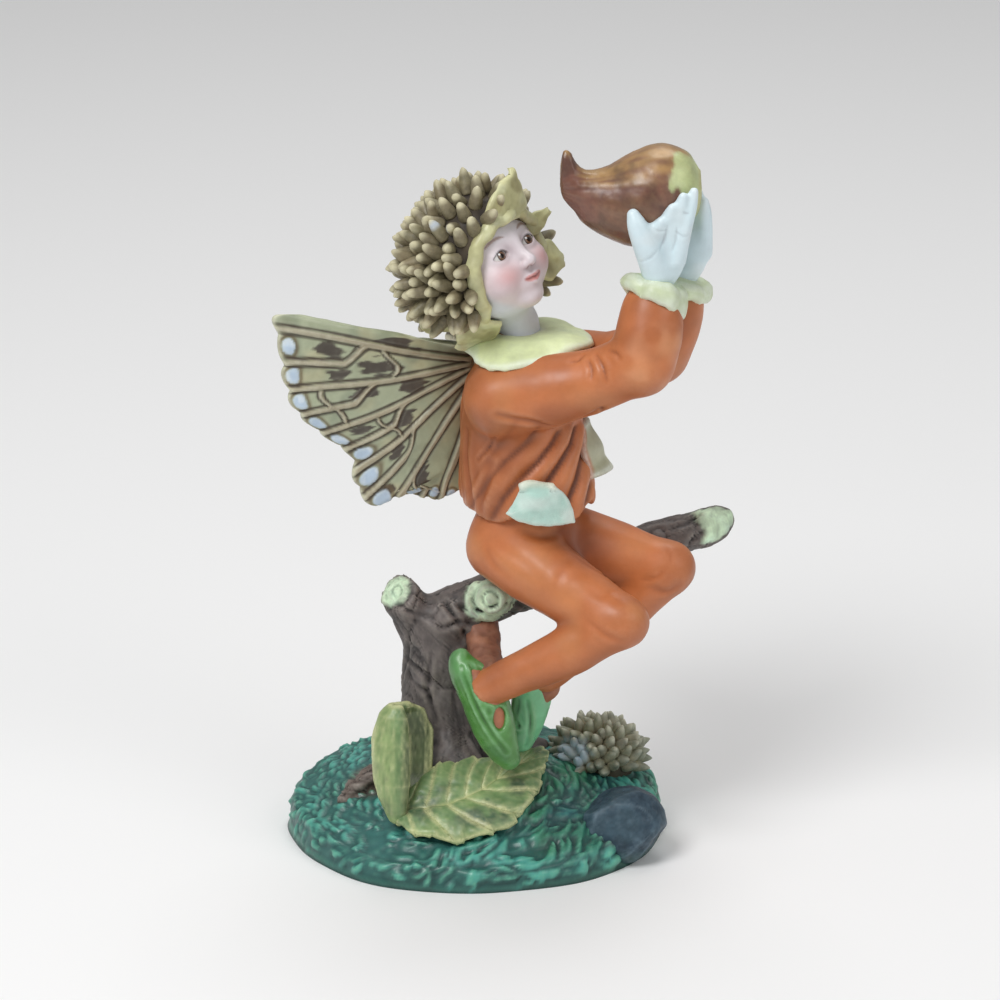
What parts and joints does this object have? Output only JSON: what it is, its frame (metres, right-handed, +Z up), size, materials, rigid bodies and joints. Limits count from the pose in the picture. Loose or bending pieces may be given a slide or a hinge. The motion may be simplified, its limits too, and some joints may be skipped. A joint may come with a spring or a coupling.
{
  "type": "fairy figurine",
  "caption": "Painted resin figurine: a winged fairy in a burr hood sits on a forked branch over a grassy mound and lifts a nut in both hands.",
  "frame": {"origin": "centre of the base's flat underside", "axes": "+Z up through the figure, +X towards the free end of the branch and the lifted nut, -Y towards the front with the leaf, where the picture was taken from"},
  "size_m": [0.0624, 0.0532, 0.0998],
  "materials": {
    "painted_resin": "hand-painted cast resin, satin"
  },
  "bodies": {
    "root": {"fairy_figurine": "painted_resin"}
  },
  "joints": []
}
